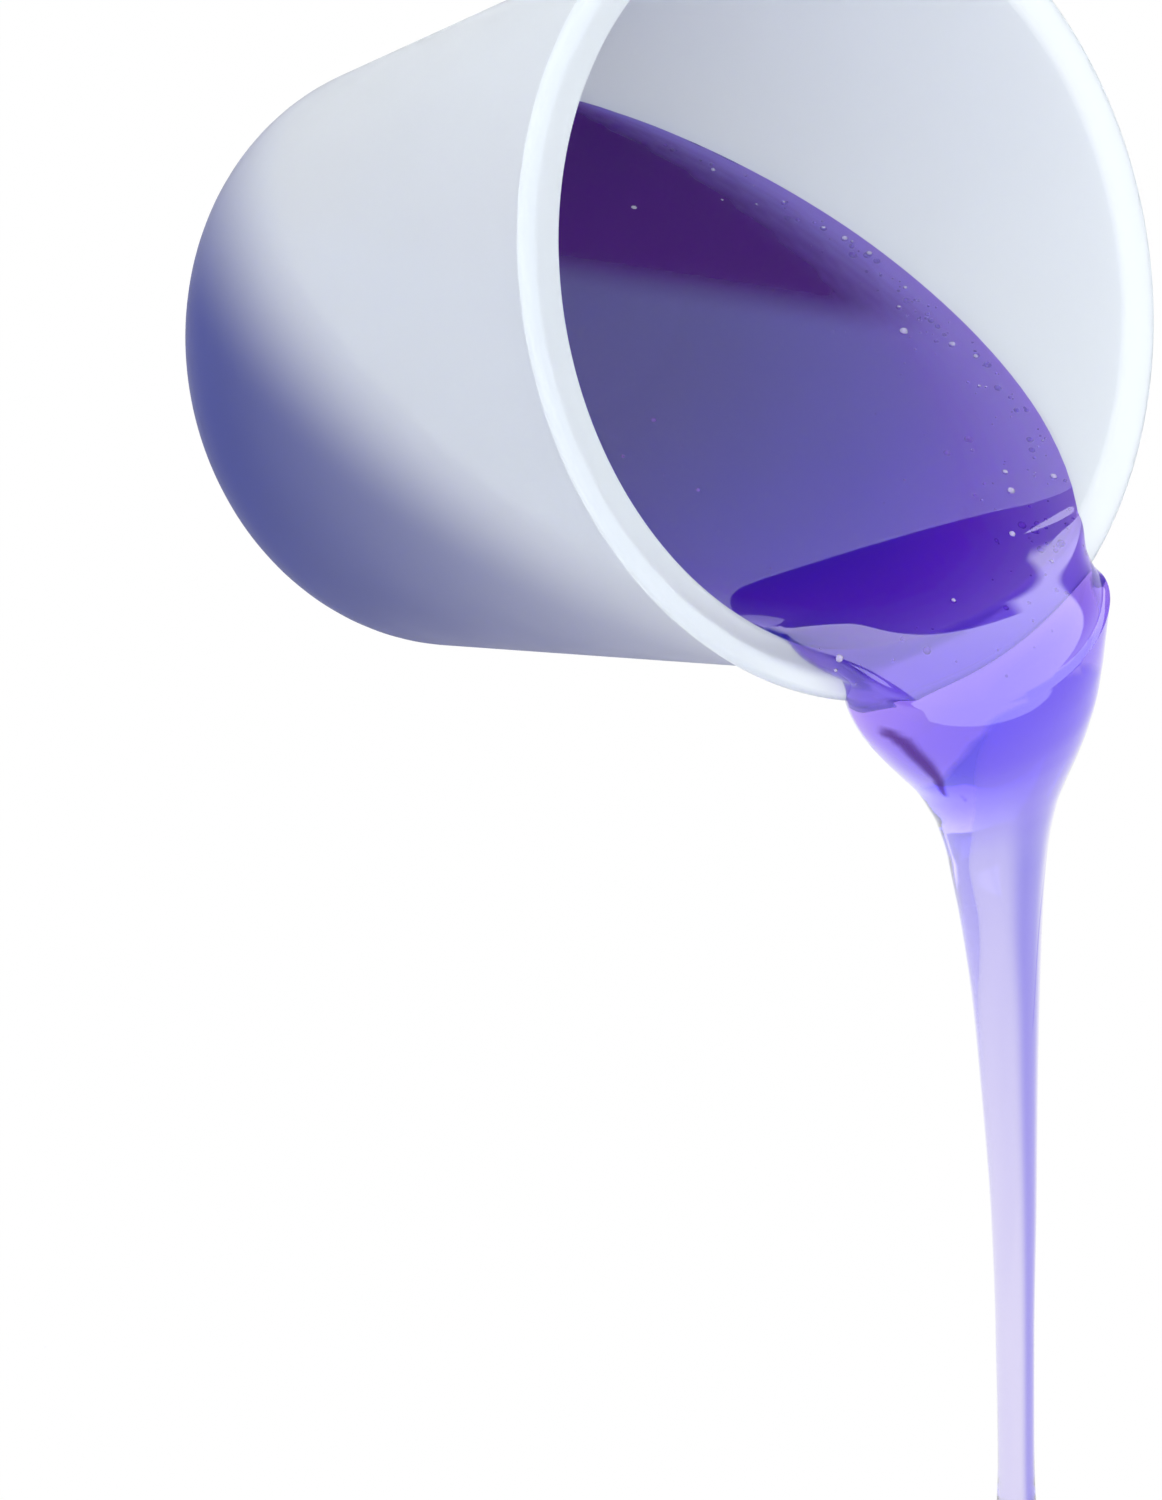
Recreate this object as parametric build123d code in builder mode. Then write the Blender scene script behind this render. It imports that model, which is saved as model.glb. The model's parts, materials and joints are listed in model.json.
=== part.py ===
"""Resin mixing cup, held tilted while its resin runs over the rim.

Frame: millimetres, +Z up against gravity, +X the way the resin pours, +Y across the pour.
The origin lies on the cup's own axis, at the height where the tilted cup is held.
The cup is one soft silicone moulding. The resin is one body of liquid, cut just outside the
plane of the rim into what the cup still holds and what has left it.
"""
import os
from math import cos, radians, sin, tan

from build123d import *

os.makedirs("parts", exist_ok=True)

# Cup, as moulded
rim_diameter = 75.0
rim_width = 4.0
rim_thickness = 1.4
cup_height = 72.0
wall = 1.7
floor_thickness = 2.2
corner_round = 14.0
wall_taper_deg = 6.4
rim_edge_round = 0.55
mouth_edge_round = 0.7
under_rim_round = 0.9

# How the cup is held
pour_tilt_deg = 65.5
grip_height = 28.0

# Resin in the cup: a thick liquid, whose surface lags behind the tilt
resin_clearance = 0.15
pour_depth = 5.6
surface_fall_deg = 16.5
surface_lean_deg = 4.0

# Resin on the rim, measured outwards from a line inside the rim's lowest point
lip_half_width = 22.0
leaving_half_width = 15.8
lip_height = 7.4
near_lean = 1.3

# Resin that falls clear of the rim
stream_drop = 98.0
fall_half_width = 16.4
fall_half_depth = 8.6
stream_drift = 4.9
drop_radius = 3.0
steps_between = 3
quarter_share = 0.5523
cling_share = 0.4
lens_share = 0.06

# Shares of the way round the rim, from the mouth to the front
lip_turn_shares = (-0.14, 0.03, 0.22, 0.44, 0.66, 0.86, 1.0)
lip_height_shares = (1.6, 0.96, 0.71, 0.65, 0.72, 0.87, 1.0)
lip_width_shares = (1.0, 0.86, 0.65, 0.45, 0.27, 0.11, 0.0)
lip_lean_shares = (2.0, 1.85, 1.54, 1.2, 0.89, 0.68, 0.62)

# Shares of the fall, from the rim to the middle of the drop at its end
fall_drop_shares = (0.005, 0.04, 0.085, 0.135, 0.185, 0.25, 0.34, 0.44, 0.57, 0.74, 0.89, 0.945, 0.98, 1.0)
fall_width_shares = (0.87, 0.73, 0.55, 0.41, 0.33, 0.27, 0.215, 0.18, 0.144, 0.115, 0.11, 0.124, 0.156, 0.18)
fall_depth_shares = (1.0, 0.92, 0.755, 0.59, 0.48, 0.38, 0.335, 0.29, 0.244, 0.217, 0.21, 0.233, 0.3, 0.345)
fall_back_shares = (0.06, 0.45, 0.65, 0.79, 0.92, 1.0, 1.0, 1.0, 1.0, 1.0, 1.0, 1.0, 1.0, 1.0)
fall_drift_shares = (-0.08, 0.14, 0.26, 0.265, 0.29, 0.39, 0.52, 0.63, 0.77, 0.88, 0.94, 0.98, 0.99, 1.0)
fall_lean_shares = (0.9, 0.84, 0.26, 0.03, -0.22, -0.28, -0.26, -0.25, -0.25, -0.15, -0.1, -0.05, 0.0, 0.0)
fall_bow_shares = (1.0, 0.7, 0.3, 0.05, 0.0, 0.0, 0.0, 0.0, 0.0, 0.0, 0.0, 0.0, 0.0, 0.0)

# Sizes that follow from the ones above
rim_radius = rim_diameter / 2
mouth_radius = rim_radius - rim_width
wall_slope = tan(radians(wall_taper_deg))
lean = radians(90 - pour_tilt_deg)
cup_direction = Vector(cos(lean), 0, sin(lean))
down_the_mouth = Vector(sin(lean), 0, -cos(lean))
base_centre = cup_direction * -grip_height
mouth_centre = cup_direction * (cup_height - grip_height)
rim_low_point = mouth_centre + down_the_mouth * rim_radius
mouth_low_point = mouth_centre + down_the_mouth * mouth_radius
cup_axis = Axis(base_centre, cup_direction)
axial_plane = Plane(origin=base_centre, x_dir=down_the_mouth, z_dir=(0, -1, 0))
surface_normal = Vector(0, 0, 1).rotate(Axis.Y, surface_fall_deg).rotate(Axis.X, -surface_lean_deg)
surface_plane = Plane(origin=mouth_low_point + Vector(0, 0, pour_depth), z_dir=surface_normal)


def inner_radius(height: float) -> float:
    """Radius of the cup's inner wall at a height above its resting face."""
    return mouth_radius - (cup_height - height) * wall_slope


def outer_radius(height: float) -> float:
    """Radius of the cup's outer wall at a height above its resting face."""
    return inner_radius(height) + wall


def evened(values: list[float]) -> list[float]:
    """The values with new ones set evenly between each two, on a smooth curve through them all."""
    padded = [2 * values[0] - values[1], *values, 2 * values[-1] - values[-2]]
    finer = []
    for before, start, end, after in zip(padded, padded[1:], padded[2:], padded[3:]):
        leaving = (end - before) / 2
        arriving = (after - start) / 2
        for step in range(steps_between):
            share = step / steps_between
            rest = 1 - share
            eased = share * share * (1 + 2 * rest)
            bend = leaving * share * rest * rest - arriving * share * share * rest
            finer.append(start + (end - start) * eased + bend)
    return [*finer, values[-1]]


def sag(across: float) -> float:
    """How far the round rim has risen at a distance across from its lowest point."""
    return rim_radius - (rim_radius**2 - across**2) ** 0.5


def quarter(middle: float, half_width: float, height: float, bow: float) -> list[tuple[float, float]]:
    """Control points of a quarter of a flow section, from its side edge to its middle.

    The section is close to an ellipse with edges at its sides, bent by a share (bow) of the rim's curve.
    """
    side = middle + half_width
    rise = middle / (rim_radius**2 - middle**2) ** 0.5
    edge = (side, bow * sag(side))
    crest = (middle, height + bow * sag(middle))
    pull = half_width * quarter_share
    return [
        edge,
        (edge[0] - half_width * lens_share, edge[1] + height * quarter_share),
        (crest[0] + pull, crest[1] + pull * bow * rise),
        crest,
    ]


# Cup: one revolved moulding with a flat, outturned rim
rim_underside = cup_height - rim_thickness
cup_outline = [
    (0, 0),
    (outer_radius(0), 0),
    (outer_radius(rim_underside), rim_underside),
    (rim_radius, rim_underside),
    (rim_radius, cup_height),
    (mouth_radius, cup_height),
    (inner_radius(floor_thickness), floor_thickness),
    (0, floor_thickness),
]
with BuildPart() as cup:
    with BuildSketch(axial_plane) as cup_profile:
        with BuildLine():
            Polyline(*cup_outline, close=True)
        make_face()
        corners = cup_profile.vertices()
        fillet(corners.sort_by_distance(cup_outline[1])[0], corner_round)
        corners = cup_profile.vertices()
        fillet(corners.sort_by_distance(cup_outline[6])[0], corner_round - wall)
        corners = cup_profile.vertices()
        fillet(corners.sort_by_distance(cup_outline[2])[0], under_rim_round)
        corners = cup_profile.vertices()
        fillet(corners.sort_by_distance(cup_outline[5])[0], mouth_edge_round)
        for corner in (cup_outline[3], cup_outline[4]):
            fillet(cup_profile.vertices().sort_by_distance(corner)[0], rim_edge_round)
    revolve(axis=cup_axis)
cup.part.label = "cup"

# Resin in the cup: the cavity up to just outside the mouth, below the sloping surface
cavity_floor = floor_thickness + resin_clearance
cavity_outline = [
    (0, cavity_floor),
    (inner_radius(cavity_floor) - resin_clearance, cavity_floor),
    (mouth_radius - resin_clearance, cup_height),
    (mouth_radius - resin_clearance, cup_height + resin_clearance),
    (0, cup_height + resin_clearance),
]
with BuildPart() as resin_pool:
    with BuildSketch(axial_plane) as cavity_profile:
        with BuildLine():
            Polyline(*cavity_outline, close=True)
        make_face()
        fillet(cavity_profile.vertices().sort_by_distance(cavity_outline[1])[0], corner_round - wall)
    revolve(axis=cup_axis)
    split(bisect_by=surface_plane, keep=Keep.BOTTOM)
resin_pool.part.label = "resin_pool"

# Resin that has left the cup: sections that turn over the rim, then drop
pivot = rim_low_point - down_the_mouth * (rim_width / 2) - cup_direction * (rim_thickness / 2)
stations = []
for turn_share, height_share, width_share, lean_share in zip(
    lip_turn_shares, lip_height_shares, lip_width_shares, lip_lean_shares
):
    turn = (radians(90) + lean) * (1 - turn_share)
    place = pivot + Vector(cos(turn), 0, sin(turn)) * rim_thickness
    middle = -near_lean * lean_share
    half_width = leaving_half_width + (lip_half_width - leaving_half_width) * width_share
    front = lip_height * height_share
    bow = max(sin(turn - lean), sin(turn - lean) * cling_share)
    stations.append((place.X, place.Z, turn, middle, half_width, front, rim_thickness / 2, bow))
for drop_share, width_share, depth_share, back_share, drift_share, lean_share, bow_share in zip(
    fall_drop_shares,
    fall_width_shares,
    fall_depth_shares,
    fall_back_shares,
    fall_drift_shares,
    fall_lean_shares,
    fall_bow_shares,
):
    place = rim_low_point + Vector(stream_drift * drift_share, 0, -stream_drop * drop_share)
    middle = -near_lean * lean_share
    half_width = fall_half_width * width_share
    front = fall_half_depth * depth_share
    bow = -sin(lean) * cling_share * bow_share
    stations.append((place.X, place.Z, 0, middle, half_width, front, front * back_share, bow))
stations = list(zip(*(evened(list(sizes)) for sizes in zip(*stations))))
with BuildPart() as resin_stream:
    for x, z, turn, middle, half_width, front, back, bow in stations:
        with BuildSketch(Plane((x, 0, z), (0, 1, 0), (sin(turn), 0, -cos(turn)))):
            with BuildLine():
                Bezier(*quarter(middle, half_width, front, bow))
                Bezier(*reversed(quarter(middle, -half_width, front, bow)))
                Bezier(*quarter(middle, -half_width, -back, bow))
                Bezier(*reversed(quarter(middle, half_width, -back, bow)))
            make_face()
    loft(ruled=True)
    with Locations(place):
        Sphere(drop_radius)
    with BuildSketch(Plane(base_centre, z_dir=cup_direction)):
        Circle(rim_radius + resin_clearance)
    extrude(amount=cup_height + resin_clearance, mode=Mode.SUBTRACT)
resin_stream.part.label = "resin_stream"

export_step(cup.part, "parts/cup.step")
export_step(resin_pool.part, "parts/resin_pool.step")
export_step(resin_stream.part, "parts/resin_stream.step")
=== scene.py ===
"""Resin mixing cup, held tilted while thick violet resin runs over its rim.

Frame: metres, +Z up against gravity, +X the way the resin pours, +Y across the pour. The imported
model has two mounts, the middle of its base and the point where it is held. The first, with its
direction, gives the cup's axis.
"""

import json
import logging
import math
from dataclasses import dataclass
from enum import Enum

import bmesh
import bpy
import numpy as np
from mathutils import Matrix, Vector


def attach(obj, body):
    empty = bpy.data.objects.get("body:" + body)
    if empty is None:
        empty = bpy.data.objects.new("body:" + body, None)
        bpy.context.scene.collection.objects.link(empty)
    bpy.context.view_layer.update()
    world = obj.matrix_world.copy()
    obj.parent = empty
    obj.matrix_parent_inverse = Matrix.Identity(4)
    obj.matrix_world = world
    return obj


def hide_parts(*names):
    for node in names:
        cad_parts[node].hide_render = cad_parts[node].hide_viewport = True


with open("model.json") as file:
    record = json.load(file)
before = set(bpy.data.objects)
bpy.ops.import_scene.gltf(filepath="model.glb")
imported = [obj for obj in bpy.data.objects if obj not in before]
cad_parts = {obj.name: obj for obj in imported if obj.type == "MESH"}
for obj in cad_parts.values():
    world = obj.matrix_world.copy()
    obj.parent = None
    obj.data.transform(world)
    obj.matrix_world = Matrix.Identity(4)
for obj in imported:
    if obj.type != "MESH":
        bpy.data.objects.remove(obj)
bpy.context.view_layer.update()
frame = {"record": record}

MM = 0.001
TINY = 0.001 * MM
MERGE_DISTANCE = 0.002 * MM
WHITE = (1.0, 1.0, 1.0, 1.0)
LOG = logging.getLogger("mixing_cup")


class Ray(Enum):
    """Kinds of ray that see the surroundings, told apart from those that light things."""

    CAMERA = "Is Camera Ray"
    GLOSSY = "Is Glossy Ray"
    TRANSMISSION = "Is Transmission Ray"


@dataclass(frozen=True)
class Grain:
    """A noise pattern: how fine it is per metre, its layers, how strong they are and its bend."""

    scale: float
    detail: float
    roughness: float = 0.5
    distortion: float = 0.0


class Wire:
    """A node's output, which adds Math nodes when it is used in a Python expression."""

    def __init__(self, graph: "Graph", socket: bpy.types.NodeSocket) -> None:
        """Keep the graph that new nodes go to and the socket that this wire starts at."""
        self.graph = graph
        self.socket = socket

    def __add__(self, other: "Wire | float") -> "Wire":
        """This value plus another."""
        return self.graph.math("ADD", self, other)

    __radd__ = __add__

    def __sub__(self, other: "Wire | float") -> "Wire":
        """This value less another."""
        return self.graph.math("SUBTRACT", self, other)

    def __rsub__(self, other: float) -> "Wire":
        """Another value less this one."""
        return self.graph.math("SUBTRACT", other, self)

    def __mul__(self, other: "Wire | float") -> "Wire":
        """This value times another."""
        return self.graph.math("MULTIPLY", self, other)

    __rmul__ = __mul__

    def __truediv__(self, other: "Wire | float") -> "Wire":
        """This value over another."""
        return self.graph.math("DIVIDE", self, other)

    def __mod__(self, other: "Wire | float") -> "Wire":
        """The rest of this value over another, never below zero."""
        return self.graph.math("FLOORED_MODULO", self, other)

    def __pow__(self, other: "Wire | float") -> "Wire":
        """This value to a power."""
        return self.graph.math("POWER", self, other)

    def at(self, name: str) -> "Wire":
        """Another output of the same node.

        Args:
            name: The output's name or identifier.

        Returns:
            A wire that starts at that output.
        """
        return Wire(self.graph, self.graph.find(self.socket.node.outputs, name))


class Graph:
    """A shader or geometry node tree that nodes are added to in one way."""

    def __init__(self, tree: bpy.types.NodeTree) -> None:
        """Keep the tree."""
        self.tree = tree

    @staticmethod
    def find(sockets: bpy.types.bpy_prop_collection, key: str | int) -> bpy.types.NodeSocket:
        """Find a socket by identifier, name or number.

        Args:
            sockets: A node's inputs or outputs.
            key: The identifier, name or number.

        Returns:
            The socket.
        """
        for socket in sockets:
            if socket.identifier == key:
                return socket
        return sockets[key]

    def add(
        self,
        kind: str,
        settings: dict | None = None,
        inputs: dict | None = None,
        out: str | int = 0,
    ) -> Wire | None:
        """Add a node.

        Args:
            kind: The node's type name.
            settings: Properties to set first.
            inputs: Values or wires for its inputs, by identifier, name or number.
            out: The output that the result starts at.

        Returns:
            A wire from the node's output, if it has one.
        """
        node = self.tree.nodes.new(kind)
        for name, value in (settings or {}).items():
            setattr(node, name, value)
        for key, value in (inputs or {}).items():
            socket = self.find(node.inputs, key)
            if isinstance(value, Wire):
                self.tree.links.new(value.socket, socket)
            else:
                socket.default_value = value
        return Wire(self, self.find(node.outputs, out)) if node.outputs else None

    def math(self, operation: str, *values: Wire | float) -> Wire:
        """Add a Math node on the values, in order."""
        return self.add("ShaderNodeMath", {"operation": operation}, dict(enumerate(values)))

    def vector(self, operation: str, first: Wire | tuple, second: Wire | tuple | float) -> Wire:
        """Add a Vector Math node.

        Args:
            operation: Its operation, such as ADD or SCALE.
            first: The vector.
            second: The other vector, or the factor of SCALE.

        Returns:
            The resulting vector.
        """
        key = "Scale" if operation == "SCALE" else 1
        return self.add("ShaderNodeVectorMath", {"operation": operation}, {0: first, key: second})

    def mix(self, factor: Wire | float, first: Wire | tuple, second: Wire | tuple) -> Wire:
        """Mix two colours.

        Args:
            factor: The share of the second.
            first: A colour.
            second: Another colour.

        Returns:
            The mixed colour.
        """
        inputs = {"Factor_Float": factor, "A_Color": first, "B_Color": second}
        return self.add("ShaderNodeMix", {"data_type": "RGBA"}, inputs, "Result_Color")

    def noise(self, place: Wire, grain: Grain) -> Wire:
        """Add a Noise Texture.

        Args:
            place: Where it is read.
            grain: Its pattern.

        Returns:
            Its value, about 0 to 1.
        """
        inputs = {
            "Vector": place,
            "Scale": grain.scale,
            "Detail": grain.detail,
            "Roughness": grain.roughness,
            "Distortion": grain.distortion,
        }
        return self.add("ShaderNodeTexNoise", {}, inputs)

    def attribute(self, name: str) -> Wire:
        """Read a value that the piece's mesh holds under a name."""
        return self.add("ShaderNodeAttribute", {"attribute_name": name}, out="Fac")

    def bump(self, height: Wire, strength: float, distance: float) -> Wire:
        """Add a Bump node.

        Args:
            height: The relief, 0 to 1.
            strength: How strongly it shows.
            distance: How high it stands, in metres.

        Returns:
            The bent normal.
        """
        inputs = {"Strength": strength, "Distance": distance, "Height": height}
        return self.add("ShaderNodeBump", {}, inputs, "Normal")

    def shader_mix(self, factor: Wire, first: Wire, second: Wire) -> Wire:
        """Mix two shaders.

        Args:
            factor: The share of the second.
            first: A shader.
            second: Another shader.

        Returns:
            The mixed shader.
        """
        return self.add("ShaderNodeMixShader", {}, {0: factor, 1: first, 2: second})


@dataclass(frozen=True)
class Finish:
    """A surface finish. Each kind builds its own nodes."""

    name: str

    def build(self, graph: Graph) -> None:
        """Build the finish's nodes in its graph."""
        raise NotImplementedError

    def material(self) -> bpy.types.Material:
        """Make the material.

        Returns:
            The new material.
        """
        material = bpy.data.materials.new(self.name)
        material.use_nodes = True
        material.node_tree.nodes.clear()
        self.build(Graph(material.node_tree))
        return material


@dataclass(frozen=True)
class FrostedSilicone(Finish):
    """Milky, satin, see-through silicone, faintly cloudy, with the resin behind it painted in as
    violet see-through shade.
    """

    pale: tuple = (0.93, 0.97, 1.0, 1.0)
    cool: tuple = (0.885, 0.94, 0.99, 1.0)
    # Painted see-through shade of the resin behind the wall
    painted_resin_shade: tuple = (0.05, 0.072, 0.42, 1.0)
    clouds: Grain = Grain(38.0, 4.0, 0.55, 0.4)
    skin: Grain = Grain(2600.0, 3.0, 0.6)
    sweep: Grain = Grain(90.0, 3.0)
    clear_share: float = 0.62
    refractive_index: float = 1.25
    mirror_level: float = 0.3
    least_roughness: float = 0.34
    sweep_roughness: float = 0.16
    skin_roughness: float = 0.04
    skin_strength: float = 0.25
    skin_depth: float = 0.03 * MM

    def build(self, graph: Graph) -> None:
        """Build the silicone's nodes."""
        place = graph.add("ShaderNodeTexCoord", out="Object")
        cloud = graph.noise(place, self.clouds)
        skin = graph.noise(place, self.skin)
        sweep = graph.noise(place, self.sweep)
        own_colour = graph.mix(cloud, self.pale, self.cool)
        # Painted see-through shade: the resin's violet where it lies behind the wall
        colour = graph.mix(graph.attribute("painted_see_through"), own_colour, self.painted_resin_shade)
        roughness = sweep * self.sweep_roughness + skin * self.skin_roughness + self.least_roughness
        surface = graph.add(
            "ShaderNodeBsdfPrincipled",
            {},
            {
                "Base Color": colour,
                "Roughness": roughness,
                "IOR": self.refractive_index,
                "Transmission Weight": self.clear_share,
                "Specular IOR Level": self.mirror_level,
                "Normal": graph.bump(skin, self.skin_strength, self.skin_depth),
            },
        )
        graph.add("ShaderNodeOutputMaterial", {}, {"Surface": surface})


@dataclass(frozen=True)
class VioletResin(Finish):
    """Wet, glossy, clear resin: lavender where it is thin or drawn out, deep violet in the pool."""

    # Its surface's colours, then what it scatters and the dark that it mirrors, and last the
    # light that passes through it and how fast the rest fades per metre
    thin: tuple = (0.25, 0.09, 0.92, 1.0)
    deep: tuple = (0.37, 0.01, 1.0, 1.0)
    swirled: tuple = (0.28, 0.01, 0.97, 1.0)
    thickest: tuple = (0.46, 0.02, 0.38, 1.0)
    stretched: tuple = (0.92, 0.88, 0.94, 1.0)
    # Painted shade along the fold and the crease down the stream
    painted_fold_shade: tuple = (0.06, 0.025, 0.72, 1.0)
    scattered: tuple = (0.13, 0.02, 1.0, 1.0)
    shaded: tuple = (0.052, 0.003, 0.13, 1.0)
    passes: tuple = (0.22, 0.16, 0.97, 1.0)
    density: float = 80.0
    swirls: Grain = Grain(45.0, 3.0, 0.5, 1.6)
    ripples: Grain = Grain(120.0, 2.0)

    # Where one colour gives way to the next: two shares of the greatest thickness, and two
    # heights in the frame
    thin_end: float = 0.02
    deep_start: float = 0.16
    stretch_start: float = -19.5 * MM
    stretch_end: float = -34.0 * MM

    # How it shines, and the greatest share of each surface in the mix
    refractive_index: float = 1.5
    clear_share: float = 0.97
    coat: float = 1.0
    least_roughness: float = 0.015
    ripple_roughness: float = 0.02
    ripple_strength: float = 0.05
    ripple_depth: float = 0.04 * MM
    scattered_roughness: float = 0.6
    shaded_roughness: float = 0.5
    wetted_share: float = 0.9
    scatter_share: float = 0.24
    shade_share: float = 0.85

    def tint(self, graph: Graph, place: Wire) -> Wire:
        """Build the resin's colour.

        Args:
            graph: The material's graph.
            place: Where its patterns are read.

        Returns:
            The colour, by how thick, drawn out or folded the resin is.
        """
        drawn_out = graph.add(
            "ShaderNodeMapRange",
            {"interpolation_type": "SMOOTHSTEP"},
            {
                "Value": graph.add("ShaderNodeSeparateXYZ", {}, {0: place}, "Z"),
                "From Min": self.stretch_start,
                "From Max": self.stretch_end,
            },
        )
        thick = graph.attribute("thickness")
        shallow = graph.add(
            "ShaderNodeMapRange",
            {},
            {"Value": thick, "From Min": self.thin_end, "From Max": self.deep_start},
        )
        swirling = graph.mix(graph.noise(place, self.swirls), self.deep, self.swirled)
        pooled = graph.mix(thick * thick, graph.mix(shallow, self.thin, swirling), self.thickest)
        # Painted shade: darker violet along the fold and the crease down the stream
        falling = graph.mix(graph.attribute("fold_shade"), self.stretched, self.painted_fold_shade)
        return graph.mix(drawn_out, pooled, falling)

    def dull(self, graph: Graph, colour: tuple, roughness: float) -> Wire:
        """Add a matt surface.

        Args:
            graph: The material's graph.
            colour: Its colour.
            roughness: How rough it is.

        Returns:
            The shader.
        """
        inputs = {"Base Color": colour, "Roughness": roughness, "Specular IOR Level": 0.0}
        return graph.add("ShaderNodeBsdfPrincipled", {}, inputs)

    def build(self, graph: Graph) -> None:
        """Build the resin's nodes."""
        place = graph.add("ShaderNodeTexCoord", out="Object")
        ripple = graph.noise(place, self.ripples)
        glossy = graph.add(
            "ShaderNodeBsdfPrincipled",
            {},
            {
                "Base Color": self.tint(graph, place),
                "Roughness": ripple * self.ripple_roughness + self.least_roughness,
                "IOR": self.refractive_index,
                "Transmission Weight": self.clear_share,
                "Coat Weight": self.coat,
                "Normal": graph.bump(ripple, self.ripple_strength, self.ripple_depth),
            },
        )
        milky = self.dull(graph, self.scattered, self.scattered_roughness)
        dark = self.dull(graph, self.shaded, self.shaded_roughness)
        joined = graph.add("ShaderNodeBsdfTransparent")
        wetted = graph.attribute("wetted")
        lit = graph.shader_mix(wetted * self.scatter_share, glossy, milky)
        held = graph.shader_mix(wetted * self.wetted_share, lit, joined)
        surface = graph.shader_mix(graph.attribute("shade") * self.shade_share, held, dark)
        absorbed = {"Color": self.passes, "Density": self.density}
        depth = graph.add("ShaderNodeVolumeAbsorption", {}, absorbed)
        graph.add("ShaderNodeOutputMaterial", {}, {"Surface": surface, "Volume": depth})


@dataclass(frozen=True)
class AirInResin(Finish):
    """The skin of a tiny air bubble, seen from inside the resin."""

    pale: tuple = (0.95, 0.93, 1.0, 1.0)
    tinted: tuple = (0.85, 0.8, 1.0, 1.0)
    clouds: Grain = Grain(300.0, 1.0)
    roughness: float = 0.06
    refractive_index: float = 1.3
    clear_share: float = 0.6

    def build(self, graph: Graph) -> None:
        """Build the bubble's nodes."""
        place = graph.add("ShaderNodeTexCoord", out="Object")
        surface = graph.add(
            "ShaderNodeBsdfPrincipled",
            {},
            {
                "Base Color": graph.mix(graph.noise(place, self.clouds), self.pale, self.tinted),
                "Roughness": self.roughness,
                "IOR": self.refractive_index,
                "Transmission Weight": self.clear_share,
            },
        )
        graph.add("ShaderNodeOutputMaterial", {}, {"Surface": surface})


@dataclass(frozen=True)
class WhiteGround(Finish):
    """A matt floor that shows as white, under a faint shadow."""

    matt: tuple = (0.86, 0.86, 0.87, 1.0)
    white_share: float = 0.98

    def build(self, graph: Graph) -> None:
        """Build the floor's nodes."""
        matt = graph.add("ShaderNodeBsdfDiffuse", {}, {"Color": self.matt})
        white = graph.add("ShaderNodeEmission", {}, {"Color": WHITE, "Strength": 1.0})
        both = graph.shader_mix(white_rays(graph) * self.white_share, matt, white)
        graph.add("ShaderNodeOutputMaterial", {}, {"Surface": both})


def white_rays(graph: Graph) -> Wire:
    """Tell the rays that see the surroundings.

    Args:
        graph: The graph that needs it.

    Returns:
        1 on such a ray and 0 on any other.
    """
    path = graph.add("ShaderNodeLightPath")
    total = path.at(Ray.CAMERA.value) + path.at(Ray.GLOSSY.value) + path.at(Ray.TRANSMISSION.value)
    return graph.math("MINIMUM", total, 1.0)


def mesh_object(
    name: str, points: np.ndarray, faces: list, material: bpy.types.Material | None
) -> bpy.types.Object:
    """Make a mesh object at the origin.

    Args:
        name: The piece's name.
        points: Its corners, in metres.
        faces: Each face's corner numbers.
        material: Its material, if it has one yet.

    Returns:
        The new object, linked to the scene.
    """
    mesh = bpy.data.meshes.new(name)
    mesh.from_pydata([tuple(p) for p in points], [], faces)
    if material:
        mesh.materials.append(material)
    piece = bpy.data.objects.new(name, mesh)
    bpy.context.scene.collection.objects.link(piece)
    return piece


def close_and_smooth(piece: bpy.types.Object, sharp_angle: float) -> None:
    """Merge coinciding corners, point the faces outwards and shade them smooth.

    Args:
        piece: The piece.
        sharp_angle: Edges that turn by more than this stay sharp, in radians.
    """
    shape = bmesh.new()
    shape.from_mesh(piece.data)
    bmesh.ops.remove_doubles(shape, verts=shape.verts, dist=MERGE_DISTANCE)
    bmesh.ops.recalc_face_normals(shape, faces=shape.faces)
    if shape.calc_volume(signed=True) < 0:
        bmesh.ops.reverse_faces(shape, faces=shape.faces)
    open_edges = sum(1 for edge in shape.edges if not edge.is_manifold)
    shape.to_mesh(piece.data)
    shape.free()
    for polygon in piece.data.polygons:
        polygon.use_smooth = True
    piece.data.set_sharp_from_angle(angle=sharp_angle)
    LOG.info("%s: %d faces, %d open edges", piece.name, len(piece.data.polygons), open_edges)


def mark_points(piece: bpy.types.Object, name: str, values: np.ndarray) -> None:
    """Keep a value for each point of a piece's mesh.

    Args:
        piece: The piece.
        name: The values' name.
        values: A value for each point, in order.
    """
    mark = piece.data.attributes.new(name, "FLOAT", "POINT")
    mark.data.foreach_set("value", values.astype(np.float32))


def new_tree(name: str, inputs: list[tuple[str, str]]) -> tuple[Graph, Wire, dict[str, str]]:
    """Start a geometry node tree.

    Args:
        name: The tree's name.
        inputs: Each input's name and socket type, after the geometry.

    Returns:
        The graph, the wire from its input, and each input's identifier by name.
    """
    tree = bpy.data.node_groups.new(name, "GeometryNodeTree")
    tree.interface.new_socket(name="Geometry", in_out="INPUT", socket_type="NodeSocketGeometry")
    tree.interface.new_socket(name="Geometry", in_out="OUTPUT", socket_type="NodeSocketGeometry")
    keys = {}
    for label, kind in inputs:
        socket = tree.interface.new_socket(name=label, in_out="INPUT", socket_type=kind)
        keys[label] = socket.identifier
    graph = Graph(tree)
    return graph, graph.add("NodeGroupInput"), keys


def end_tree(graph: Graph, shape: Wire, material: Wire) -> None:
    """End a tree with Realize Instances, smooth shading and Set Material.

    Args:
        graph: The tree's graph.
        shape: The geometry so far.
        material: The wire that brings the material.
    """
    real = graph.add("GeometryNodeRealizeInstances", {}, {"Geometry": shape})
    smooth = graph.add("GeometryNodeSetShadeSmooth", {}, {"Geometry": real})
    painted = graph.add("GeometryNodeSetMaterial", {}, {"Geometry": smooth, "Material": material})
    graph.add("NodeGroupOutput", {}, {"Geometry": painted})


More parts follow.
